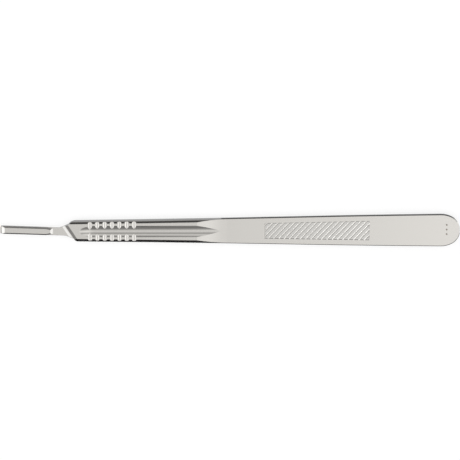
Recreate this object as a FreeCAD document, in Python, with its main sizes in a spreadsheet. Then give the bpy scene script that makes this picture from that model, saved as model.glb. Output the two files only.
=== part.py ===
"""Scalpel handle: a long one-piece steel handle with a fitting for detachable blades.

The handle lies along X with the blade fitting at the -X end, +Z up. Inside the body, x is
measured back from the tip and z from the mid-plane of the steel; the body is then placed so
that the origin is at the middle of its underside. All lengths are in millimetres.
"""

import FreeCAD, Part
import math
import os
import Sketcher

NODE = "scalpel_handle"

# how far a cutting profile runs past the steel it cuts, or a joining one runs into it
OVERRUN = 1.0
# how far the rounded cut of the upper corner passes over the side of the grip
CORNER_OVERRUN = 0.1
# how far each slanting ridge reaches past the recess on either side
RIDGE_OVERLAP = 0.4
# volumes in cubic millimetres and lengths in millimetres that count as nothing
SMALLEST_CHANGE = 1e-4
SAME_PLACE = 1e-3
SAME_LEVEL = 1e-5

DIMENSIONS = {
    # whole handle, seen from above
    "overall_length": 210.0,
    "front_width": 9.58,
    "waist_to_end": 75.0,
    "waist_width": 12.8,
    "rounding_length": 8.7,
    "end_width": 14.8,
    "end_flattening": 0.4,
    "front_sweep_radius": 9900.0,
    "rear_sweep_radius": 5100.0,
    # thickness, seen from the side
    "grip_thickness": 4.0,
    "shank_thickness": 2.2,
    "bevel_width": 1.38,
    "bevel_depth": 1.15,
    "grip_end": 90.0,
    "thinning_length": 13.5,
    # diagonal shoulder
    "shoulder_station": 31.45,
    "shoulder_angle": 57.5,
    "lower_corner_radius": 1.9,
    "neck_seat": 0.26,
    "upper_corner_length": 3.7,
    "upper_corner_drop": 1.8,
    "upper_corner_radius": 4.6,
    "scoop_start": 29.8,
    "scoop_length": 8.2,
    # one flute along each face of the grip
    "flute_start": 36.4,
    "flute_width": 5.2,
    "flute_depth": 0.85,
    "flute_wheel_radius": 30.0,
    # cross notches
    "notch_first": 41.15,
    "notch_pitch": 3.35,
    "notch_count": 7,
    "notch_width": 2.1,
    "notch_depth": 0.68,
    # slanting grip ridges on the shank
    "patch_gap": 17.2,
    "patch_to_end": 41.4,
    "patch_margin": 2.55,
    "patch_depth": 0.22,
    "patch_wall_angle": 45.0,
    "ridge_pitch": 2.48,
    "ridge_angle": 46.0,
    "ridge_width": 0.3,
    "ridge_flank_angle": 42.0,
    # three small dents across the end of the upper face
    "dent_to_end": 6.2,
    "dent_offset": 0.4,
    "dent_pitch": 2.15,
    "dent_width": 0.84,
    "dent_depth": 0.18,
    "dent_count": 3,
    # blade fitting
    "fitting_tilt": 1.96,
    "tip_offset": 0.6,
    "tongue_length": 31.0,
    "tongue_width": 3.6,
    "tongue_thickness": 0.9,
    "ledge_height": -0.2,
    "tip_corner_radius": 0.8,
    "neck_upper_start": 27.2,
    "neck_lower_start": 29.9,
    "neck_blend_radius": 4.0,
    "lug_start": 0.7,
    "lug_narrowing": 21.0,
    "lug_neck_station": 23.4,
    "lug_end": 24.15,
    "lug_width": 3.55,
    "lug_root_start": 1.5,
    "lug_root_width": 2.6,
    "blade_gap": 0.5,
    "lip_thickness": 0.75,
    "lip_bevel": 0.6,
    "nose_length": 1.5,
    "heel_slope_length": 1.1,
}


class Size:
    """A number together with the sheet expression that gives it."""

    def __init__(self, value, text):
        self.value = value
        self.text = text

    def __add__(self, other):
        other = as_size(other)
        return Size(self.value + other.value, f"({self.text} + {other.text})")

    def __radd__(self, other):
        return as_size(other) + self

    def __sub__(self, other):
        other = as_size(other)
        return Size(self.value - other.value, f"({self.text} - {other.text})")

    def __rsub__(self, other):
        return as_size(other) - self

    def __mul__(self, other):
        other = as_size(other)
        return Size(self.value * other.value, f"({self.text} * {other.text})")

    def __rmul__(self, other):
        return as_size(other) * self

    def __truediv__(self, other):
        other = as_size(other)
        return Size(self.value / other.value, f"({self.text} / {other.text})")

    def __neg__(self):
        return as_size(-1) * self


def as_size(number):
    """A plain number as a Size; a Size stays as it is."""
    if isinstance(number, Size):
        return number
    return Size(float(number), f"({number})")


def root(size):
    """Square root of a Size."""
    return Size(math.sqrt(size.value), f"sqrt({size.text})")


def tangent(angle):
    """Tangent of an angle in degrees."""
    return Size(math.tan(math.radians(angle.value)), f"tan({angle.text} * 1deg)")


def sine(angle):
    """Sine of an angle in degrees."""
    return Size(math.sin(math.radians(angle.value)), f"sin({angle.text} * 1deg)")


def cosine(angle):
    """Cosine of an angle in degrees."""
    return Size(math.cos(math.radians(angle.value)), f"cos({angle.text} * 1deg)")


def round_up(size):
    """The next whole number."""
    return Size(math.ceil(size.value), f"ceil({size.text})")


def sagitta_radius(run, rise):
    """Radius of an arc that starts level and rises by rise over run."""
    return (run * run + rise * rise) / (2 * rise)


def make_sheet(doc):
    """The spreadsheet of driving dimensions, one alias a row."""
    sheet = doc.addObject("Spreadsheet::Sheet", "Sizes")
    for row, (alias, value) in enumerate(DIMENSIONS.items(), start=1):
        sheet.set(f"A{row}", alias.replace("_", " "))
        sheet.set(f"B{row}", str(value))
        sheet.setAlias(f"B{row}", alias)
    doc.recompute()
    return sheet


class Sizes:
    """The sheet's cells as Sizes, with the stations and levels that follow from them."""

    def __init__(self, sheet):
        for alias in DIMENSIONS:
            setattr(self, alias, Size(float(sheet.get(alias)), f"Sizes.{alias}"))
        self.waist_station = self.overall_length - self.waist_to_end
        self.rounding_start = self.overall_length - self.rounding_length
        self.thinning_end = self.grip_end + self.thinning_length
        self.patch_start = self.thinning_end + self.patch_gap
        self.patch_end = self.overall_length - self.patch_to_end
        self.grip_face = self.grip_thickness / 2
        self.shank_face = self.shank_thickness / 2
        self.tongue_floor = self.ledge_height - self.tongue_thickness
        self.half_front = self.front_width / 2
        self.half_waist = self.waist_width / 2
        self.half_end = self.end_width / 2


def bind(thing, name, size):
    """Ties a property of a feature to the sheet."""
    thing.setExpression(name, as_size(size).text)


def origin_feature(body, role):
    """The body's own origin plane or axis with this role."""
    for feature in body.Origin.OriginFeatures:
        if feature.Role == role:
            return feature
    raise RuntimeError(f"no origin feature {role}")


def new_sketch(body, name, role, lift=None, frame=None):
    """An empty sketch on an origin plane, lifted along its normal and set in a turned frame."""
    sketch = body.newObject("Sketcher::SketchObject", name)
    sketch.AttachmentSupport = [(origin_feature(body, role), "")]
    sketch.MapMode = "FlatFace"
    if lift is not None:
        bind(sketch, "AttachmentOffset.Base.z", lift)
    if frame is not None:
        shift, turn = frame
        bind(sketch, "AttachmentOffset.Base.y", shift)
        bind(sketch, "AttachmentOffset.Rotation.Angle", turn)
    return sketch


def arc_between(start, end, radius):
    """The shorter arc from start to end; a positive radius turns left, a negative one right."""
    middle = (start + end) * 0.5
    chord = end - start
    rise = math.sqrt(radius * radius - chord.Length * chord.Length / 4)
    left = FreeCAD.Vector(-chord.y, chord.x, 0).normalize()
    centre = middle + left * math.copysign(rise, radius)
    first, last = (start, end) if radius > 0 else (end, start)
    angles = [math.atan2(point.y - centre.y, point.x - centre.x) for point in (first, last)]
    circle = Part.Circle(centre, FreeCAD.Vector(0, 0, 1), abs(radius))
    return Part.ArcOfCircle(circle, *angles)


def draw_path(sketch, corners, arcs=None, closed=True):
    """Lines through the corners, with an arc of the given radius after the corners in arcs.

    Every corner is held by its two coordinates and every arc by its radius.
    """
    arcs = arcs or {}
    points = [FreeCAD.Vector(as_size(x).value, as_size(y).value, 0) for x, y in corners]
    spans = len(points) if closed else len(points) - 1
    ends = []
    for index in range(spans):
        start = points[index]
        end = points[(index + 1) % len(points)]
        radius = arcs.get(index)
        if radius is None:
            ends.append((sketch.addGeometry(Part.LineSegment(start, end)), 1, 2))
            continue
        arc = sketch.addGeometry(arc_between(start, end, radius.value))
        ends.append((arc, 1, 2) if radius.value > 0 else (arc, 2, 1))
        sketch.addConstraint(Sketcher.Constraint("Radius", arc, abs(radius.value)))
        sketch.renameConstraint(sketch.ConstraintCount - 1, f"radius_{index}")
        bind(sketch, f"Constraints.radius_{index}", radius if radius.value > 0 else -radius)
    for index in range(spans if closed else spans - 1):
        this, following = ends[index], ends[(index + 1) % spans]
        sketch.addConstraint(Sketcher.Constraint("Coincident", this[0], this[2], following[0], following[1]))
    for index, (across, up) in enumerate(corners):
        edge, vertex = (ends[index][0], ends[index][1]) if index < spans else (ends[-1][0], ends[-1][2])
        for label, kind, size in (("x", "DistanceX", across), ("y", "DistanceY", up)):
            sketch.addConstraint(Sketcher.Constraint(kind, edge, vertex, as_size(size).value))
            sketch.renameConstraint(sketch.ConstraintCount - 1, f"{label}_{index}")
            bind(sketch, f"Constraints.{label}_{index}", size)


def draw_circle(sketch, label, centre, radius):
    """A circle held by its centre and radius."""
    across, up = (as_size(size) for size in centre)
    circle = Part.Circle(FreeCAD.Vector(across.value, up.value, 0), FreeCAD.Vector(0, 0, 1), radius.value)
    index = sketch.addGeometry(circle)
    for name, constraint, size in (
        ("x", Sketcher.Constraint("DistanceX", index, 3, across.value), across),
        ("y", Sketcher.Constraint("DistanceY", index, 3, up.value), up),
        ("radius", Sketcher.Constraint("Radius", index, radius.value), radius),
    ):
        sketch.addConstraint(constraint)
        sketch.renameConstraint(sketch.ConstraintCount - 1, f"{label}_{name}")
        bind(sketch, f"Constraints.{label}_{name}", size)


def settle(body, feature, adds):
    """Recomputes, and checks that the feature really added or removed steel."""
    base = feature.BaseFeature
    if base is None and "Originals" in feature.PropertiesList:
        base = feature.Originals[-1]
    before = base.Shape.Volume if base else 0.0
    body.Document.recompute()
    if feature.Shape.isNull() or not feature.Shape.isValid():
        raise RuntimeError(f"{feature.Name} has no valid shape")
    change = feature.Shape.Volume - before
    if (change > 0) != adds or abs(change) < SMALLEST_CHANGE:
        raise RuntimeError(f"{feature.Name} changed the volume by {change:.4f}")
    return feature


def pad(body, name, sketch, height, symmetric=False, downwards=False, flank_angle=None):
    """Adds steel from a sketch."""
    feature = body.newObject("PartDesign::Pad", name)
    feature.Profile = sketch
    bind(feature, "Length", height)
    feature.SideType = "Symmetric" if symmetric else "One side"
    feature.Reversed = downwards
    if flank_angle is not None:
        bind(feature, "TaperAngle", -flank_angle)
    return settle(body, feature, adds=True)


def pocket(body, name, sketch, depth=None, upwards=False, flank_angle=None):
    """Removes steel: right through both ways, or to a depth on one side of the sketch."""
    feature = body.newObject("PartDesign::Pocket", name)
    feature.Profile = sketch
    if depth is None:
        feature.Type = "ThroughAll"
        feature.SideType = "Symmetric"
    else:
        bind(feature, "Length", depth)
        feature.Reversed = upwards
    if flank_angle is not None:
        bind(feature, "TaperAngle", -flank_angle)
    return settle(body, feature, adds=False)


def row(body, name, original, pitch, count, adds, axis="X_Axis"):
    """Repeats a feature along the handle, or along another axis."""
    feature = body.newObject("PartDesign::LinearPattern", name)
    feature.Originals = [original]
    feature.Direction = (origin_feature(body, axis), [""])
    feature.Mode = "Spacing"
    bind(feature, "Offset", pitch)
    bind(feature, "Occurrences", count)
    body.Tip = feature
    return settle(body, feature, adds)


def edge_names(shape, wanted):
    """Names of the edges that pass a test."""
    return [f"Edge{number}" for number, edge in enumerate(shape.Edges, start=1) if wanted(edge)]


def upright_at(corners):
    """Test for an upright edge that stands on one of the given plan points."""
    places = [(as_size(x).value, as_size(y).value) for x, y in corners]

    def wanted(edge):
        box = edge.BoundBox
        if max(box.XLength, box.YLength) > SAME_LEVEL:
            return False
        return any(math.hypot(box.XMin - x, box.YMin - y) < SAME_PLACE for x, y in places)

    return wanted


def level_at(height):
    """Test for an edge that lies wholly at one height."""

    def wanted(edge):
        box = edge.BoundBox
        return max(abs(box.ZMin - height.value), abs(box.ZMax - height.value)) < SAME_LEVEL

    return wanted


def dress(body, kind, name, base, wanted, prop, size, expected, across=None):
    """A fillet or chamfer on the edges of base that pass a test.

    An uneven chamfer takes size from the upright sides and across from the level faces.
    """
    edges = edge_names(base.Shape, wanted)
    if len(edges) < expected:
        raise RuntimeError(f"{name} found {len(edges)} edges")
    feature = body.newObject(f"PartDesign::{kind}", name)
    feature.Base = (base, edges)
    bind(feature, prop, size)
    if across is not None:
        feature.ChamferType = "Two distances"
        bind(feature, "Size2", across)
    body.Document.recompute()
    if feature.Shape.isNull() or not feature.Shape.isValid():
        raise RuntimeError(f"{name} has no valid shape")
    return feature


def half_width(sizes, station):
    """Half the width at a station ahead of or behind the waist, on its shallow side arc."""
    if station.value < sizes.waist_station.value:
        start, first = sizes.shoulder_station, sizes.half_front
        run = sizes.waist_station - start
        hollow = (station - start) * (sizes.waist_station - station) / (2 * sizes.front_sweep_radius)
        return first + (sizes.half_waist - first) * (station - start) / run - hollow
    behind = station - sizes.waist_station
    run = sizes.rounding_start - sizes.waist_station
    crown = behind * (sizes.rounding_start - station) / (2 * sizes.rear_sweep_radius)
    return sizes.half_waist + (sizes.half_end - sizes.half_waist) * behind / run + crown


def shoulder_corners(sizes):
    """Where the foot of the diagonal shoulder meets the two sides of the grip."""
    slant = sizes.half_front / tangent(sizes.shoulder_angle)
    upper = (sizes.shoulder_station - slant, sizes.half_front)
    lower = (sizes.shoulder_station + slant, -sizes.half_front)
    return upper, lower


def make_blank(body, sizes):
    """The bar in plan, at the thickness of the grip, with its long bevels.

    The end is one arc whose radius is a little under half the width, and a longer blend arc
    on each side runs from the straight of the side, level there, into that arc.
    """
    end_radius = sizes.half_end - sizes.end_flattening
    end_centre = sizes.overall_length - end_radius
    ahead = end_centre - sizes.rounding_start
    blend_radius = (ahead * ahead + sizes.half_end * sizes.half_end - end_radius * end_radius) / (
        2 * sizes.end_flattening)
    # both arcs meet on the line through their centres
    spread = blend_radius - end_radius
    meet_x = end_centre + end_radius * ahead / spread
    meet_y = end_radius * (blend_radius - sizes.half_end) / spread
    upper, lower = shoulder_corners(sizes)
    corners = [
        upper,
        lower,
        (sizes.waist_station, -sizes.half_waist),
        (sizes.rounding_start, -sizes.half_end),
        (meet_x, -meet_y),
        (meet_x, meet_y),
        (sizes.rounding_start, sizes.half_end),
        (sizes.waist_station, sizes.half_waist),
    ]
    arcs = {
        1: -sizes.front_sweep_radius,
        2: sizes.rear_sweep_radius,
        3: blend_radius,
        4: end_radius,
        5: blend_radius,
        6: sizes.rear_sweep_radius,
        7: -sizes.front_sweep_radius,
    }
    sketch = new_sketch(body, "plan_outline", "XY_Plane")
    draw_path(sketch, corners, arcs)
    blank = pad(body, "blank", sketch, sizes.grip_thickness, symmetric=True)
    blank = dress(body, "Fillet", "lower_corner", blank, upright_at([lower]),
                  "Radius", sizes.lower_corner_radius, expected=1)
    faces = [level_at(sizes.grip_face), level_at(-sizes.grip_face)]
    dress(body, "Chamfer", "long_bevels", blank, lambda edge: any(face(edge) for face in faces),
          "Size", sizes.bevel_depth, expected=18, across=sizes.bevel_width)


def neck_corners(sizes):
    """Plan points where the neck leaves the tongue's two sides and where it meets the grip."""
    half = sizes.tongue_width / 2

    def tongue_side(station, side):
        middle = sizes.tip_offset - station * tangent(sizes.fitting_tilt)
        return middle + side * half / cosine(sizes.fitting_tilt)

    upper = (sizes.neck_upper_start, tongue_side(sizes.neck_upper_start, 1))
    lower = (sizes.neck_lower_start, tongue_side(sizes.neck_lower_start, -1))
    # the neck's upper side ends on the top edge of the shoulder
    height = sizes.half_front - sizes.upper_corner_drop
    top_edge = sizes.shoulder_station + sizes.bevel_width / sine(sizes.shoulder_angle)
    upper_end = (top_edge - height / tangent(sizes.shoulder_angle), height)
    # its lower side ends just inside the rounded lower corner
    setback = sizes.lower_corner_radius * tangent(sizes.shoulder_angle / 2)
    corner = shoulder_corners(sizes)[1]
    lower_end = (corner[0] - setback * cosine(sizes.shoulder_angle) + sizes.neck_seat,
                 corner[1] + setback * sine(sizes.shoulder_angle) - sizes.neck_seat / 2)
    return upper, upper_end, lower, lower_end


def trim_upper_corner(body, sizes):
    """Cuts the upper front corner down to the neck with one rounded upright cut."""
    upper, front, _, _ = neck_corners(sizes)
    back = (front[0] + sizes.upper_corner_length, sizes.half_front + CORNER_OVERRUN)
    clear = sizes.half_front + sizes.bevel_width
    corners = [
        upper,
        front,
        back,
        (back[0], clear),
        (upper[0], clear),
    ]
    sketch = new_sketch(body, "upper_corner_outline", "XY_Plane")
    draw_path(sketch, corners, {1: -sizes.upper_corner_radius})
    pocket(body, "upper_corner_cut", sketch)


def thin_shank(body, sizes):
    """Hollow ramps behind the grip that bring both faces down to the thin shank."""
    radius = sagitta_radius(sizes.thinning_length, sizes.grip_face - sizes.shank_face)
    beyond = sizes.overall_length + OVERRUN
    clear = sizes.grip_face + OVERRUN
    for name, side in (("upper", 1), ("lower", -1)):
        corners = [
            (sizes.grip_end, side * sizes.grip_face),
            (sizes.thinning_end, side * sizes.shank_face),
            (beyond, side * sizes.shank_face),
            (beyond, side * clear),
            (sizes.grip_end, side * clear),
        ]
        sketch = new_sketch(body, f"{name}_thinning_profile", "XZ_Plane")
        draw_path(sketch, corners, {0: side * radius})
        pocket(body, f"{name}_thinning", sketch)


def scoop_underside(body, sizes):
    """Hollow ramp under the shoulder, from the underside of the grip to that of the tongue."""
    radius = sagitta_radius(sizes.scoop_length, sizes.tongue_floor + sizes.grip_face)
    end = sizes.scoop_start + sizes.scoop_length
    ahead = shoulder_corners(sizes)[0][0] - OVERRUN
    clear = -sizes.grip_face - OVERRUN
    corners = [
        (ahead, sizes.tongue_floor),
        (sizes.scoop_start, sizes.tongue_floor),
        (end, -sizes.grip_face),
        (end, clear),
        (ahead, clear),
    ]
    sketch = new_sketch(body, "scoop_profile", "XZ_Plane")
    draw_path(sketch, corners, {1: radius})
    pocket(body, "underside_scoop", sketch)


def cut_flutes(body, sizes):
    """One round-bottomed flute along each face: a wheel runs in at the front, then travels back.

    The flute is a circle carried along an arc and a straight line; behind the grip it runs out
    where the thinning ramp drops below its floor.
    """
    round_radius = sagitta_radius(sizes.flute_width / 2, sizes.flute_depth)
    centre_height = sizes.grip_face - sizes.flute_depth + round_radius
    full_depth = sizes.flute_start + root(
        sizes.flute_depth * (2 * sizes.flute_wheel_radius - sizes.flute_depth))
    path_radius = sizes.flute_wheel_radius - round_radius
    lift = sizes.flute_depth + OVERRUN
    run_in = root(lift * (2 * path_radius - lift))
    back = sizes.thinning_end + OVERRUN
    path = new_sketch(body, "flute_path", "XZ_Plane")
    draw_path(path, [(back, centre_height), (full_depth, centre_height),
                     (full_depth - run_in, centre_height + lift)], {1: -path_radius}, closed=False)
    section = new_sketch(body, "flute_section", "YZ_Plane", lift=back)
    draw_circle(section, "flute", (0, centre_height), round_radius)
    flute = body.newObject("PartDesign::SubtractivePipe", "upper_flute")
    flute.Profile = section
    flute.Spine = (path, ["Edge1", "Edge2"])
    settle(body, flute, adds=False)
    mirrored = body.newObject("PartDesign::Mirrored", "both_flutes")
    mirrored.Originals = [flute]
    mirrored.MirrorPlane = (origin_feature(body, "XY_Plane"), [""])
    body.Tip = mirrored
    settle(body, mirrored, adds=False)


def cut_notches(body, sizes):
    """Seven round notches straight across both rails, on both faces."""
    radius = sagitta_radius(sizes.notch_width / 2, sizes.notch_depth)
    height = sizes.grip_face - sizes.notch_depth + radius
    sketch = new_sketch(body, "notch_section", "XZ_Plane")
    draw_circle(sketch, "upper", (sizes.notch_first, height), radius)
    draw_circle(sketch, "lower", (sizes.notch_first, -height), radius)
    notch = pocket(body, "first_notch", sketch)
    row(body, "notches", notch, sizes.notch_pitch, sizes.notch_count, adds=False)


def cut_grip_patch(body, sizes, name, side):
    """A shallow recess with sloping walls that follows the edges, crossed by slanting ridges.

    Every ridge is longer than the recess is wide and level with the face around it, so the
    edge of the recess ends it.
    """
    face = side * sizes.shank_face
    floor = face - side * sizes.patch_depth
    front = half_width(sizes, sizes.patch_start) - sizes.patch_margin
    rear = half_width(sizes, sizes.patch_end) - sizes.patch_margin
    recess = new_sketch(body, f"{name}_patch_outline", "XY_Plane", lift=face)
    draw_path(recess, [
        (sizes.patch_start, -front),
        (sizes.patch_end, -rear),
        (sizes.patch_end, rear),
        (sizes.patch_start, front),
    ])
    pocket(body, f"{name}_patch", recess, sizes.patch_depth, upwards=side < 0,
           flank_angle=sizes.patch_wall_angle)
    # the foot of a ridge is wider than its crest by both flanks
    reach = rear + RIDGE_OVERLAP
    lean = reach / tangent(sizes.ridge_angle)
    crest = sizes.ridge_width / 2
    foot = (crest + sizes.patch_depth * tangent(sizes.ridge_flank_angle)) / sine(sizes.ridge_angle)
    first = sizes.patch_start - front / tangent(sizes.ridge_angle) + sizes.ridge_pitch / 2
    ridge = new_sketch(body, f"{name}_ridge_outline", "XY_Plane", lift=floor)
    draw_path(ridge, [
        (first - lean - foot, -reach),
        (first - lean + foot, -reach),
        (first + lean + foot, reach),
        (first + lean - foot, reach),
    ])
    ridge = pad(body, f"{name}_ridge", ridge, sizes.patch_depth, downwards=side < 0,
                flank_angle=sizes.ridge_flank_angle)
    run = sizes.patch_end - sizes.patch_start + lean + front / tangent(sizes.ridge_angle)
    row(body, f"{name}_ridges", ridge, sizes.ridge_pitch, round_up(run / sizes.ridge_pitch), adds=True)


def cut_dents(body, sizes):
    """Small cone-shaped dents in a row across the end of the upper face."""
    dent = body.newObject("PartDesign::SubtractiveCone", "first_dent")
    dent.AttachmentSupport = [(origin_feature(body, "XY_Plane"), "")]
    dent.MapMode = "FlatFace"
    bind(dent, "AttachmentOffset.Base.x", sizes.overall_length - sizes.dent_to_end)
    bind(dent, "AttachmentOffset.Base.y", sizes.dent_offset - (sizes.dent_count - 1) * sizes.dent_pitch / 2)
    bind(dent, "AttachmentOffset.Base.z", sizes.shank_face - sizes.dent_depth)
    dent.Radius1 = 0
    bind(dent, "Radius2", sizes.dent_width / 2)
    bind(dent, "Height", sizes.dent_depth)
    settle(body, dent, adds=False)
    row(body, "dents", dent, sizes.dent_pitch, sizes.dent_count, adds=False, axis="Y_Axis")


def make_neck(body, sizes):
    """The tongue and the neck that widens from it into the shoulder."""
    half = sizes.tongue_width / 2
    frame = (sizes.tip_offset, -sizes.fitting_tilt)
    tongue = new_sketch(body, "tongue_outline", "XY_Plane", lift=sizes.tongue_floor, frame=frame)
    draw_path(tongue, [(0, -half), (sizes.tongue_length, -half), (sizes.tongue_length, half), (0, half)])
    pad(body, "tongue", tongue, sizes.tongue_thickness)
    upper, upper_end, lower, lower_end = neck_corners(sizes)
    inside = lower_end[0] + OVERRUN
    neck = new_sketch(body, "neck_outline", "XY_Plane", lift=sizes.tongue_floor)
    draw_path(neck, [
        (sizes.neck_upper_start - half, 0),
        lower,
        lower_end,
        (inside, lower_end[1] + OVERRUN),
        (inside, upper_end[1] - OVERRUN),
        upper_end,
        upper,
    ])
    neck = pad(body, "neck", neck, sizes.tongue_thickness)
    dress(body, "Fillet", "neck_blends", neck, upright_at([upper, lower]),
          "Radius", sizes.neck_blend_radius, expected=2)


def make_lug(body, sizes):
    """The raised lug: a narrow root and a wider bevelled lip, so that a groove runs along each side."""
    frame = (sizes.tip_offset, -sizes.fitting_tilt)
    groove_top = sizes.ledge_height + sizes.blade_gap
    lip_top = groove_top + sizes.lip_thickness
    half_root = sizes.lug_root_width / 2
    half_lip = sizes.lug_width / 2
    root_sketch = new_sketch(body, "lug_root_outline", "XY_Plane", lift=sizes.ledge_height, frame=frame)
    draw_path(root_sketch, [
        (sizes.lug_root_start, -half_root),
        (sizes.lug_end, -half_root),
        (sizes.lug_end, half_root),
        (sizes.lug_root_start, half_root),
    ])
    pad(body, "lug_root", root_sketch, sizes.blade_gap)
    lip_sketch = new_sketch(body, "lip_outline", "XY_Plane", lift=groove_top, frame=frame)
    draw_path(lip_sketch, [
        (sizes.lug_start, -half_lip),
        (sizes.lug_narrowing, -half_lip),
        (sizes.lug_neck_station, -half_root),
        (sizes.lug_end, -half_root),
        (sizes.lug_end, half_root),
        (sizes.lug_neck_station, half_root),
        (sizes.lug_narrowing, half_lip),
        (sizes.lug_start, half_lip),
    ])
    lip = pad(body, "lip", lip_sketch, sizes.lip_thickness)
    tilt = math.radians(sizes.fitting_tilt.value)

    def place(along, across):
        x = along.value * math.cos(tilt) + across.value * math.sin(tilt)
        y = across.value * math.cos(tilt) - along.value * math.sin(tilt)
        return x, y + sizes.tip_offset.value

    zero = as_size(0)
    tips = [place(zero, zero + side * sizes.tongue_width / 2) for side in (1, -1)]
    tips += [place(sizes.lug_start, side * half_lip) for side in (1, -1)]
    lip = dress(body, "Fillet", "rounded_tips", lip, upright_at(tips),
                "Radius", sizes.tip_corner_radius, expected=4)
    lip = dress(body, "Chamfer", "lip_bevels", lip, level_at(lip_top), "Size", sizes.lip_bevel, expected=8)
    clear = lip_top + OVERRUN
    ends = new_sketch(body, "lug_end_slopes", "XZ_Plane")
    draw_path(ends, [
        (-OVERRUN, groove_top),
        (sizes.lug_start, groove_top),
        (sizes.lug_start + sizes.nose_length, lip_top),
        (sizes.lug_start + sizes.nose_length, clear),
        (-OVERRUN, clear),
    ])
    pocket(body, "lug_nose", ends)
    heel = new_sketch(body, "lug_heel_slope", "XZ_Plane")
    draw_path(heel, [
        (sizes.lug_end - sizes.heel_slope_length, lip_top),
        (sizes.lug_end, sizes.ledge_height),
        (sizes.lug_end + OVERRUN, sizes.ledge_height),
        (sizes.lug_end + OVERRUN, clear),
        (sizes.lug_end - sizes.heel_slope_length, clear),
    ])
    return pocket(body, "lug_heel", heel)


def main():
    """Builds the handle, checks it and writes its solid."""
    doc = FreeCAD.newDocument("scalpel_handle")
    sizes = Sizes(make_sheet(doc))
    body = doc.addObject("PartDesign::Body", "handle")
    body.Label = NODE
    make_blank(body, sizes)
    trim_upper_corner(body, sizes)
    make_neck(body, sizes)
    make_lug(body, sizes)
    thin_shank(body, sizes)
    scoop_underside(body, sizes)
    cut_flutes(body, sizes)
    cut_notches(body, sizes)
    cut_grip_patch(body, sizes, "upper", 1)
    cut_grip_patch(body, sizes, "lower", -1)
    cut_dents(body, sizes)
    bind(body, "Placement.Base.x", -sizes.overall_length / 2)
    bind(body, "Placement.Base.z", sizes.grip_thickness / 2)
    doc.recompute()
    for thing in doc.Objects:
        if "Invalid" in thing.State or "Error" in thing.State:
            raise RuntimeError(f"{thing.Name} failed: {thing.State}")
    shape = body.Shape
    if shape.isNull() or not shape.isValid() or len(shape.Solids) != 1:
        raise RuntimeError("the handle is not one valid solid")
    os.makedirs("parts", exist_ok=True)
    shape.exportStep(f"parts/{NODE}.step")
    box = shape.BoundBox
    print(f"{NODE}: {shape.Volume:.1f} cubic mm, {box.XLength:.2f} mm long, {box.YLength:.2f} mm wide")


main()
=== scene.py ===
"""Looks of the long steel scalpel handle: brushed steel on a white floor, in soft studio light."""

import math

import bpy
import numpy as np
from mathutils import Matrix, Vector

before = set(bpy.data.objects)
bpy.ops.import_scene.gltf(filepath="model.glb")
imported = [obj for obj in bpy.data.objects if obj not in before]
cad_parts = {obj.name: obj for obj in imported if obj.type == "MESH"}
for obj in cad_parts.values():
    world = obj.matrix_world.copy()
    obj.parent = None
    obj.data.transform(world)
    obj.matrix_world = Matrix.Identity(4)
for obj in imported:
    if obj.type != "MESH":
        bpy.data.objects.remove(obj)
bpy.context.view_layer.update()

# lengths are in metres: the handle lies along X on the plane Z = 0, with its lug at -X
NODE = "scalpel_handle"
ORIGIN = (0, 0, 0)
MIDDLE_HEIGHT = 0.002
GRIP_START = -0.078
GRIP_END = -0.004

# the photo's view: almost straight above, leaning to +Y and turned by a trace, as wide as the handle
PHOTO_WIDTH = 0.210
SENSOR_WIDTH_MM = 36.0
CAMERA_DISTANCE = 1.2
CAMERA_NEAR = 0.01
CAMERA_LEAN = math.radians(12.0)
CAMERA_ROLL = math.radians(0.13)
CAMERA_TARGET = (0.0, 0.00022, MIDDLE_HEIGHT)

WHITE = (1.0, 1.0, 1.0)

# the floor: a lit surface mixed with a glow that brings it up to white
FLOOR_SIZE = 6.0
FLOOR_HEIGHT = -0.00005
FLOOR_COLOR = (0.97, 0.97, 0.97)
FLOOR_ROUGHNESS = 0.9
FLOOR_GLOW = 1.08
FLOOR_GLOW_SHARE = 0.62

# the world: white where it is seen, and a little less as light
WORLD_SEEN = 1.0
WORLD_LIGHT = 0.85

# the studio is a long tent along X around the handle, which only the steel reflects:
# the level of its light at each angle from straight up, from the near side (-) to the far side (+)
TENT_RADIUS = 2.0
TENT_LENGTH = 6.4
TENT_COLOR = (1.0, 0.985, 0.96)
TENT_LEVELS = (
    (-100, 0.015), (-78, 0.04), (-68, 0.30), (-52, 0.22), (-42, 0.28), (-28, 0.54), (-20, 0.87),
    (-6, 0.85), (2, 0.62), (8, 0.44), (16, 0.46), (24, 0.78), (32, 0.86), (40, 0.50), (50, 0.30),
    (58, 0.17), (65, 0.045), (73, 0.08), (80, 0.32), (100, 0.40),
)
# the same along its length, as a share of those levels
TENT_SHARES = (
    (-3.2, 0.65), (-1.2, 0.88), (-0.19, 0.92), (-0.1, 0.87), (-0.05, 0.9), (0.0, 1.0), (0.12, 1.03),
    (0.24, 1.14), (0.28, 1.22), (0.34, 1.18), (0.6, 1.06), (1.2, 1.1), (3.2, 1.1),
)
# from this far along, the wall goes over to one even level, which it reaches at its two ends
TENT_EVEN_START = 1.4
TENT_EVEN_LEVEL = 0.7
# the cards that close its ends
TENT_END_LEVEL = 0.3

# cards just above the floor, also for reflections alone: where each starts and ends along X,
# its near and far edge in Y, and its level
GROUND_HEIGHT = -0.00003
GROUND_COLOR = (0.97, 0.98, 1.0)
GROUND_CARDS = (
    ("near_ground", -TENT_LENGTH / 2, TENT_LENGTH / 2, -0.01, -TENT_RADIUS, 0.015),
    ("far_ground_front", -TENT_LENGTH / 2, GRIP_END, 0.002, TENT_RADIUS, 0.45),
    ("far_ground_rear", GRIP_END, TENT_LENGTH / 2, 0.005, TENT_RADIUS, 0.2),
)

# a bright card low in the tent, beyond the lug's end and on the far side
CORNER_CARD_SIZE = (1.3, 0.9)
CORNER_CARD_PLACE = (-1.5, 1.12, 0.42)
CORNER_CARD_LEVEL = 2.55

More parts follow.
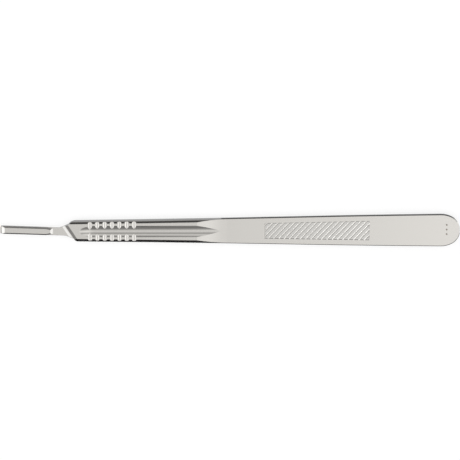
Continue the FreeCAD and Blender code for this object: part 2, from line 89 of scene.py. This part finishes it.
# two soft panels beyond the ends of the handle, at this angle from straight up
PANEL_DISTANCE = 2.0
PANEL_TURN = math.radians(64.0)
PANEL_SIZE = (1.6, 1.75)
PANELS = (("left_panel", -1, 0.85), ("right_panel", 1, 0.8))

# the steel, and the shade painted into its colour: darker inside the dents and on the floor of the ridged
# patches
STEEL_COLOR = (0.74, 0.73, 0.71)
PAINTED_DENT_SHADE = (0.46, 0.42, 0.38)
PAINTED_PATCH_FLOOR_SHADE = (0.685, 0.682, 0.672)
STEEL_ROUGHNESS = 0.12
# the grain: noise cells to a metre along each axis, its depth and strength, and what it adds to roughness
GRAIN_CELLS = (60.0, 4200.0, 4200.0)
GRAIN_DEPTH = 0.00002
GRAIN_STRENGTH = 0.09
GRAIN_ROUGHNESS = 0.05
# how far the edges are softened: more on the grip, less on the shank, with a fade between two stations
EDGE_RADIUS = 0.00005
GRIP_EDGE_RADIUS = 0.00022
GRIP_FADE = (-0.015, 0.0)
EDGE_SAMPLES = 6

# the crown of the grip's long bevels: none at the first height from the middle, all of it at the second.
# A bevel is a face whose normal has at least this product of its Y and Z parts.
CROWN_HEIGHTS = (0.00145, 0.0012)
CROWN_LEAN = 0.35
BEVEL_SLOPE = 0.42
# the lug's heel: its stations, how far its normal points along X at least, and how far it leans up
HEEL_START = -0.0824
HEEL_END = -0.0805
HEEL_SLOPE = 0.4
HEEL_LEAN = 0.5
# the foot of the diagonal shoulder: a strip along it, between two stations on the middle line,
# how far the normal points up at least, and how far it leans along X
SHOULDER_ANGLE = math.radians(57.5)
FOOT_START = -0.0754
FOOT_END = -0.0741
FOOT_FLATNESS = 0.6
FOOT_LEAN = -0.65

# the three dents: their station, their middle and pitch across the handle, and their radius.
# Their mask of painted shade is 0 at the first distance from a dent's axis, 1 at the second, and 0 again
# lower down.
DENT_STATION = 0.0988
DENT_MIDDLE = 0.0004
DENT_PITCH = 0.00215
DENT_RADIUS = 0.00042
DENT_RIM = (1.1 * DENT_RADIUS, 0.8 * DENT_RADIUS)
DENT_LOWEST = 0.0028

# the ridged patches: their stations and half width, and the mask of the shade painted on their floor,
# which is 0 at the first height from the middle and 1 at the second
PATCH_START = 0.0157
PATCH_END = 0.0637
PATCH_HALF_WIDTH = 0.0048
PATCH_HEIGHTS = (0.00107, 0.0009)


def add_node(tree, kind, **inputs):
    """A shader node with its sockets set by name, an underscore standing for a space."""
    node = tree.nodes.new(kind)
    for name, value in inputs.items():
        node.inputs[name.replace("_", " ")].default_value = value
    return node


def feed(tree, sockets, values):
    """Gives each socket its value, a number or a triple, or links it to another node's output."""
    for socket, value in zip(sockets, values):
        if isinstance(value, (float, tuple)):
            socket.default_value = value
        else:
            tree.links.new(value, socket)


def math_node(tree, operation, *values):
    """The result of one operation on numbers or on other nodes' outputs."""
    node = tree.nodes.new("ShaderNodeMath")
    node.operation = operation
    feed(tree, node.inputs, values)
    return node.outputs[0]


def vector_node(tree, operation, *values):
    """A node for one operation on triples or on other nodes' outputs."""
    node = tree.nodes.new("ShaderNodeVectorMath")
    node.operation = operation
    feed(tree, node.inputs, values)
    return node


def axes_of(tree, vector):
    """The X, Y and Z parts of a vector."""
    node = tree.nodes.new("ShaderNodeSeparateXYZ")
    tree.links.new(vector, node.inputs[0])
    return node.outputs


def between(tree, value, low, high):
    """1 where the value lies between two numbers, 0 elsewhere."""
    above = math_node(tree, "GREATER_THAN", value, low)
    below = math_node(tree, "LESS_THAN", value, high)
    return math_node(tree, "MULTIPLY", above, below)


def fade(tree, value, ends):
    """0 at the first end and 1 at the second, straight between them and level beyond."""
    node = add_node(tree, "ShaderNodeMapRange", From_Min=ends[0], From_Max=ends[1])
    tree.links.new(value, node.inputs["Value"])
    return node.outputs["Result"]


def from_middle(tree, height):
    """How far a height lies above or below the handle's middle."""
    return math_node(tree, "ABSOLUTE", math_node(tree, "SUBTRACT", height, MIDDLE_HEIGHT))


def ramp(tree, value, stops):
    """A grey that follows the stops, each a place from 0 to 1 and a level."""
    node = tree.nodes.new("ShaderNodeValToRGB")
    elements = node.color_ramp.elements
    while len(elements) < len(stops):
        elements.new(0.5)
    for element, (place, level) in zip(elements, stops):
        element.position = place
        element.color = (level, level, level, 1.0)
    tree.links.new(value, node.inputs[0])
    return node.outputs["Color"]


def mixed_color(tree, factor, first, second):
    """The first colour, a node's output or a triple, where the factor is 0, and the second where it is 1."""
    node = tree.nodes.new("ShaderNodeMix")
    node.data_type = "RGBA"
    tree.links.new(factor, node.inputs["Factor"])
    for name, value in (("A", first), ("B", second)):
        if isinstance(value, tuple):
            node.inputs[name].default_value = (*value, 1.0)
        else:
            tree.links.new(value, node.inputs[name])
    return node.outputs["Result"]


def plain_material(name, color, roughness, metallic=0.0):
    """A material of one colour."""
    material = bpy.data.materials.new(name)
    material.use_nodes = True
    shader = material.node_tree.nodes["Principled BSDF"]
    shader.inputs["Base Color"].default_value = (*color, 1.0)
    shader.inputs["Roughness"].default_value = roughness
    shader.inputs["Metallic"].default_value = metallic
    return material


def glow_material(name, color, level):
    """A material that only glows, evenly."""
    material = bpy.data.materials.new(name)
    material.use_nodes = True
    tree = material.node_tree
    tree.nodes.remove(tree.nodes["Principled BSDF"])
    glow = add_node(tree, "ShaderNodeEmission", Color=(*color, 1.0), Strength=level)
    tree.links.new(glow.outputs["Emission"], tree.nodes["Material Output"].inputs["Surface"])
    return material


def only_reflected(piece):
    """Lets only mirror-like reflections see a stage piece."""
    piece.visible_camera = False
    piece.visible_diffuse = False
    piece.visible_shadow = False
    piece.visible_transmission = False
    piece.visible_volume_scatter = False


def plane(name, width, depth, material):
    """A flat rectangle around the origin that faces +Z."""
    mesh = bpy.data.meshes.new(name)
    half_width, half_depth = width / 2, depth / 2
    corners = [(-half_width, -half_depth, 0), (half_width, -half_depth, 0),
               (half_width, half_depth, 0), (-half_width, half_depth, 0)]
    mesh.from_pydata(corners, [], [(0, 1, 2, 3)])
    mesh.materials.append(material)
    piece = bpy.data.objects.new(name, mesh)
    bpy.context.scene.collection.objects.link(piece)
    return piece


def aim(piece, position, target):
    """Places a piece and turns its -Z axis towards a point."""
    piece.location = position
    piece.rotation_euler = (Vector(target) - Vector(position)).to_track_quat("-Z", "Y").to_euler()


def make_floor():
    """White floor that keeps a faint shadow of the handle: a share of glow over a lit surface."""
    material = plain_material("white floor", FLOOR_COLOR, FLOOR_ROUGHNESS)
    tree = material.node_tree
    glow = add_node(tree, "ShaderNodeEmission", Strength=FLOOR_GLOW)
    mix = add_node(tree, "ShaderNodeMixShader", Fac=FLOOR_GLOW_SHARE)
    tree.links.new(tree.nodes["Principled BSDF"].outputs[0], mix.inputs[1])
    tree.links.new(glow.outputs[0], mix.inputs[2])
    tree.links.new(mix.outputs[0], tree.nodes["Material Output"].inputs["Surface"])
    floor = plane("floor", FLOOR_SIZE, FLOOR_SIZE, material)
    floor.location = (0, 0, FLOOR_HEIGHT)


def make_world():
    """White surroundings for the camera, reflections and glass, plain light for the rest."""
    world = bpy.data.worlds.new("studio")
    bpy.context.scene.world = world
    world.use_nodes = True
    tree = world.node_tree
    tree.nodes.clear()
    output = tree.nodes.new("ShaderNodeOutputWorld")
    path = tree.nodes.new("ShaderNodeLightPath").outputs
    seen = math_node(tree, "MAXIMUM", path["Is Camera Ray"], path["Is Glossy Ray"])
    seen = math_node(tree, "MAXIMUM", seen, path["Is Transmission Ray"])
    mix = tree.nodes.new("ShaderNodeMixShader")
    tree.links.new(seen, mix.inputs[0])
    for slot, strength in ((1, WORLD_LIGHT), (2, WORLD_SEEN)):
        background = add_node(tree, "ShaderNodeBackground", Color=(*WHITE, 1.0), Strength=strength)
        tree.links.new(background.outputs[0], mix.inputs[slot])
    tree.links.new(mix.outputs[0], output.inputs["Surface"])


def tent_material():
    """Light whose level goes by the angle around the tent times the share along it.

    The map "place" gives both as shares from 0 to 1. Towards the two ends the level goes over
    to an even one.
    """
    material = glow_material("tent light", TENT_COLOR, 1.0)
    tree = material.node_tree
    place = tree.nodes.new("ShaderNodeUVMap")
    place.uv_map = "place"
    axes = axes_of(tree, place.outputs[0])
    first, last = TENT_LEVELS[0][0], TENT_LEVELS[-1][0]
    levels = [((angle - first) / (last - first), level) for angle, level in TENT_LEVELS]
    # the shares are halved here and doubled below, so that no stop of the ramp is above 1
    shares = [(0.5 + x / TENT_LENGTH, share / 2) for x, share in TENT_SHARES]
    reach = TENT_EVEN_START / TENT_LENGTH
    around = ramp(tree, axes["Y"], levels)
    along = ramp(tree, axes["X"], shares)
    ends = ramp(tree, axes["X"], ((0.0, 1.0), (0.5 - reach, 0.0), (0.5 + reach, 0.0), (1.0, 1.0)))
    halved = math_node(tree, "MULTIPLY", around, along)
    mix = tree.nodes.new("ShaderNodeMix")
    mix.data_type = "FLOAT"
    mix.inputs["B"].default_value = TENT_EVEN_LEVEL
    tree.links.new(ends, mix.inputs["Factor"])
    tree.links.new(math_node(tree, "MULTIPLY", halved, 2.0), mix.inputs["A"])
    tree.links.new(mix.outputs["Result"], tree.nodes["Emission"].inputs["Strength"])
    return material


def make_tent():
    """Grid of a cylinder's wall along X: (x, radius * sin(angle), radius * cos(angle)).

    The angle runs from the first to the last of the levels, and the UV map holds the share of
    the length and the share of the angle.
    """
    count_along, count_around = 2, 61
    first, last = (math.radians(TENT_LEVELS[end][0]) for end in (0, -1))
    u, v = np.meshgrid(np.linspace(0, 1, count_along), np.linspace(0, 1, count_around))
    angle = first + (last - first) * v
    points = np.stack(
        [(u - 0.5) * TENT_LENGTH, TENT_RADIUS * np.sin(angle), TENT_RADIUS * np.cos(angle)], -1)
    corner = np.arange(count_along * count_around).reshape(count_around, count_along)
    faces = np.stack([corner[:-1, :-1], corner[1:, :-1], corner[1:, 1:], corner[:-1, 1:]], -1).reshape(-1, 4)
    mesh = bpy.data.meshes.new("tent")
    mesh.from_pydata(points.reshape(-1, 3).tolist(), [], faces.tolist())
    shares = np.stack([u, v], -1).reshape(-1, 2)[faces.reshape(-1)]
    mesh.uv_layers.new(name="place").data.foreach_set("uv", shares.astype(np.float32).reshape(-1))
    mesh.materials.append(tent_material())
    tent = bpy.data.objects.new("tent", mesh)
    bpy.context.scene.collection.objects.link(tent)
    only_reflected(tent)


def make_tent_ends():
    """Grey cards that close the tent, so that steel seen from either end stays below white."""
    for name, side in (("left_tent_end", -1), ("right_tent_end", 1)):
        card = plane(name, 2 * TENT_RADIUS, 2 * TENT_RADIUS, glow_material(name, WHITE, TENT_END_LEVEL))
        aim(card, (side * TENT_LENGTH / 2, 0, 0), ORIGIN)
        only_reflected(card)


def make_ground_cards():
    """What the low edges of the steel reflect: near black in front, grey behind."""
    for name, first, last, nearest, furthest, level in GROUND_CARDS:
        card = plane(name, last - first, abs(furthest - nearest), glow_material(name, GROUND_COLOR, level))
        card.location = ((first + last) / 2, (nearest + furthest) / 2, GROUND_HEIGHT)
        only_reflected(card)


def make_corner_card():
    """A bright card low in the far left corner, which the slanting ridges catch on one flank."""
    material = glow_material("corner white", WHITE, CORNER_CARD_LEVEL)
    card = plane("corner_card", *CORNER_CARD_SIZE, material)
    aim(card, CORNER_CARD_PLACE, ORIGIN)
    only_reflected(card)


def make_panels():
    """Two soft panels aimed at the handle; the power of each is its radiance times pi times its area."""
    width, depth = PANEL_SIZE
    for name, side, radiance in PANELS:
        data = bpy.data.lights.new(name, "AREA")
        data.shape = "RECTANGLE"
        data.size = width
        data.size_y = depth
        data.energy = radiance * math.pi * width * depth
        panel = bpy.data.objects.new(name, data)
        bpy.context.scene.collection.objects.link(panel)
        across = side * PANEL_DISTANCE * math.sin(PANEL_TURN)
        aim(panel, (across, 0, PANEL_DISTANCE * math.cos(PANEL_TURN)), ORIGIN)
        panel.visible_camera = False


def make_camera():
    """Almost straight above, leaning to +Y, with the handle filling the width."""
    data = bpy.data.cameras.new("camera")
    data.sensor_width = SENSOR_WIDTH_MM
    data.lens = data.sensor_width * CAMERA_DISTANCE / PHOTO_WIDTH
    data.clip_start = CAMERA_NEAR
    camera = bpy.data.objects.new("camera", data)
    bpy.context.scene.collection.objects.link(camera)
    away = Vector((0, math.sin(CAMERA_LEAN), math.cos(CAMERA_LEAN)))
    level_up = Vector((0, math.cos(CAMERA_LEAN), -math.sin(CAMERA_LEAN)))
    up = level_up * math.cos(CAMERA_ROLL) + level_up.cross(away) * math.sin(CAMERA_ROLL)
    turn = Matrix((up.cross(away), up, away)).transposed().to_4x4()
    camera.matrix_world = Matrix.Translation(Vector(CAMERA_TARGET) + away * CAMERA_DISTANCE) @ turn
    bpy.context.scene.camera = camera


def heel_lean(tree, place, facing):
    """How far up the normal leans on the lug's heel."""
    here = between(tree, place["X"], HEEL_START, HEEL_END)
    sloping = math_node(tree, "GREATER_THAN", facing["X"], HEEL_SLOPE)
    return math_node(tree, "MULTIPLY", math_node(tree, "MULTIPLY", here, sloping), HEEL_LEAN)


def foot_lean(tree, place, facing):
    """How far along X the normal leans on the foot of the shoulder.

    A point's station on the middle line is X plus Y over the tangent of the shoulder's angle.
    """
    station = math_node(
        tree, "ADD", place["X"], math_node(tree, "MULTIPLY", place["Y"], 1 / math.tan(SHOULDER_ANGLE)))
    here = between(tree, station, FOOT_START, FOOT_END)
    upward = math_node(tree, "GREATER_THAN", facing["Z"], FOOT_FLATNESS)
    return math_node(tree, "MULTIPLY", math_node(tree, "MULTIPLY", here, upward), FOOT_LEAN)


def crown_lean(tree, place, facing):
    """How far outwards the normal leans on the outer half of the grip's long bevels, ground with a crown."""
    outer = fade(tree, from_middle(tree, place["Z"]), CROWN_HEIGHTS)
    slope = math_node(tree, "ABSOLUTE", math_node(tree, "MULTIPLY", facing["Y"], facing["Z"]))
    steep = math_node(tree, "GREATER_THAN", slope, BEVEL_SLOPE)
    bevel = math_node(tree, "MULTIPLY", steep, between(tree, place["X"], GRIP_START, GRIP_END))
    side = math_node(tree, "SIGN", facing["Y"])
    part = math_node(tree, "MULTIPLY", math_node(tree, "MULTIPLY", outer, bevel), side)
    return math_node(tree, "MULTIPLY", part, CROWN_LEAN)


def finely_shaped(tree, place, normal):
    """The normal with the small curves of bevels, heel and foot added, brought back to length 1."""
    facing = axes_of(tree, normal)
    lean = tree.nodes.new("ShaderNodeCombineXYZ")
    for axis, part in (("X", foot_lean), ("Y", crown_lean), ("Z", heel_lean)):
        tree.links.new(part(tree, place, facing), lean.inputs[axis])
    total = vector_node(tree, "ADD", normal, lean.outputs[0])
    return vector_node(tree, "NORMALIZE", total.outputs[0]).outputs[0]


def brushed_group():
    """Fine grain along X, softened edges and the small curves: gives a normal and a roughness."""
    group = bpy.data.node_groups.new("brushed_steel", "ShaderNodeTree")
    for name in ("Edge Radius", "Grip Radius", "Grain", "Roughness"):
        group.interface.new_socket(name, in_out="INPUT", socket_type="NodeSocketFloat")
    group.interface.new_socket("Normal", in_out="OUTPUT", socket_type="NodeSocketVector")
    group.interface.new_socket("Roughness", in_out="OUTPUT", socket_type="NodeSocketFloat")
    source = group.nodes.new("NodeGroupInput").outputs
    result = group.nodes.new("NodeGroupOutput").inputs
    link = group.links.new
    point = group.nodes.new("ShaderNodeTexCoord").outputs["Object"]
    place = axes_of(group, point)
    grain = add_node(group, "ShaderNodeTexNoise", Scale=1.0, Detail=3.0, Roughness=0.6)
    link(vector_node(group, "MULTIPLY", point, GRAIN_CELLS).outputs[0], grain.inputs["Vector"])
    radius = add_node(group, "ShaderNodeMapRange", From_Min=GRIP_FADE[0], From_Max=GRIP_FADE[1])
    link(place["X"], radius.inputs["Value"])
    link(source["Grip Radius"], radius.inputs["To Min"])
    link(source["Edge Radius"], radius.inputs["To Max"])
    edges = group.nodes.new("ShaderNodeBevel")
    edges.samples = EDGE_SAMPLES
    link(radius.outputs["Result"], edges.inputs["Radius"])
    bump = add_node(group, "ShaderNodeBump", Distance=GRAIN_DEPTH)
    link(source["Grain"], bump.inputs["Strength"])
    link(grain.outputs["Fac"], bump.inputs["Height"])
    link(finely_shaped(group, place, edges.outputs["Normal"]), bump.inputs["Normal"])
    link(bump.outputs["Normal"], result["Normal"])
    roughness = math_node(group, "MULTIPLY_ADD", grain.outputs["Fac"], GRAIN_ROUGHNESS, source["Roughness"])
    link(roughness, result["Roughness"])
    return group


def mask_group(name):
    """A new group that puts out a mask: the group, the mask's socket and the place on the handle."""
    group = bpy.data.node_groups.new(name, "ShaderNodeTree")
    group.interface.new_socket("Mask", in_out="OUTPUT", socket_type="NodeSocketFloat")
    result = group.nodes.new("NodeGroupOutput")
    point = group.nodes.new("ShaderNodeTexCoord").outputs["Object"]
    return group, result.inputs["Mask"], axes_of(group, point)


def dent_shade_group():
    """Mask of the shade painted into the dents: 1 near the axis of the nearest one, 0 elsewhere and lower
    down.
    """
    group, mask, place = mask_group("dent_shade_mask")
    flat = group.nodes.new("ShaderNodeCombineXYZ")
    for axis in ("X", "Y"):
        group.links.new(place[axis], flat.inputs[axis])
    distances = []
    for step in (-1, 0, 1):
        dent = (DENT_STATION, DENT_MIDDLE + step * DENT_PITCH, 0.0)
        distances.append(vector_node(group, "DISTANCE", flat.outputs[0], dent).outputs["Value"])
    nearest = math_node(group, "MINIMUM", math_node(group, "MINIMUM", *distances[:2]), distances[2])
    inside = fade(group, nearest, DENT_RIM)
    above = math_node(group, "GREATER_THAN", place["Z"], DENT_LOWEST)
    group.links.new(math_node(group, "MULTIPLY", inside, above), mask)
    return group


def patch_floor_shade_group():
    """Mask of the shade painted on the patches' floors on both faces: 0 on the ridges' crests and outside
    the patches.
    """
    group, mask, place = mask_group("patch_floor_shade_mask")
    sunk = fade(group, from_middle(group, place["Z"]), PATCH_HEIGHTS)
    along = between(group, place["X"], PATCH_START, PATCH_END)
    within = math_node(group, "LESS_THAN", math_node(group, "ABSOLUTE", place["Y"]), PATCH_HALF_WIDTH)
    inside = math_node(group, "MULTIPLY", along, within)
    group.links.new(math_node(group, "MULTIPLY", inside, sunk), mask)
    return group


def place_group(tree, group):
    """A node that holds a group."""
    node = tree.nodes.new("ShaderNodeGroup")
    node.node_tree = group
    return node


def steel_material():
    """Satin steel with a fine lengthwise grain, with shade painted darker into the dents and a little onto
    the patches' floors.
    """
    material = plain_material("steel", STEEL_COLOR, STEEL_ROUGHNESS, metallic=1.0)
    tree = material.node_tree
    shader = tree.nodes["Principled BSDF"]
    brushed = place_group(tree, brushed_group())
    brushed.inputs["Edge Radius"].default_value = EDGE_RADIUS
    brushed.inputs["Grip Radius"].default_value = GRIP_EDGE_RADIUS
    brushed.inputs["Grain"].default_value = GRAIN_STRENGTH
    brushed.inputs["Roughness"].default_value = STEEL_ROUGHNESS
    for output in ("Normal", "Roughness"):
        tree.links.new(brushed.outputs[output], shader.inputs[output])
    dents = place_group(tree, dent_shade_group())
    floors = place_group(tree, patch_floor_shade_group())
    # painted shade: the steel's colour is darkened in the dents' hollows
    color = mixed_color(tree, dents.outputs["Mask"], STEEL_COLOR, PAINTED_DENT_SHADE)
    # painted shade: the colour is darkened a little on the recessed floors between the ridges
    color = mixed_color(tree, floors.outputs["Mask"], color, PAINTED_PATCH_FLOOR_SHADE)
    tree.links.new(color, shader.inputs["Base Color"])
    return material


make_floor()
make_world()
make_tent()
make_tent_ends()
make_ground_cards()
make_corner_card()
make_panels()
make_camera()

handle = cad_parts[NODE]
handle.data.materials.clear()
handle.data.materials.append(steel_material())

bpy.context.scene.view_settings.view_transform = "Standard"
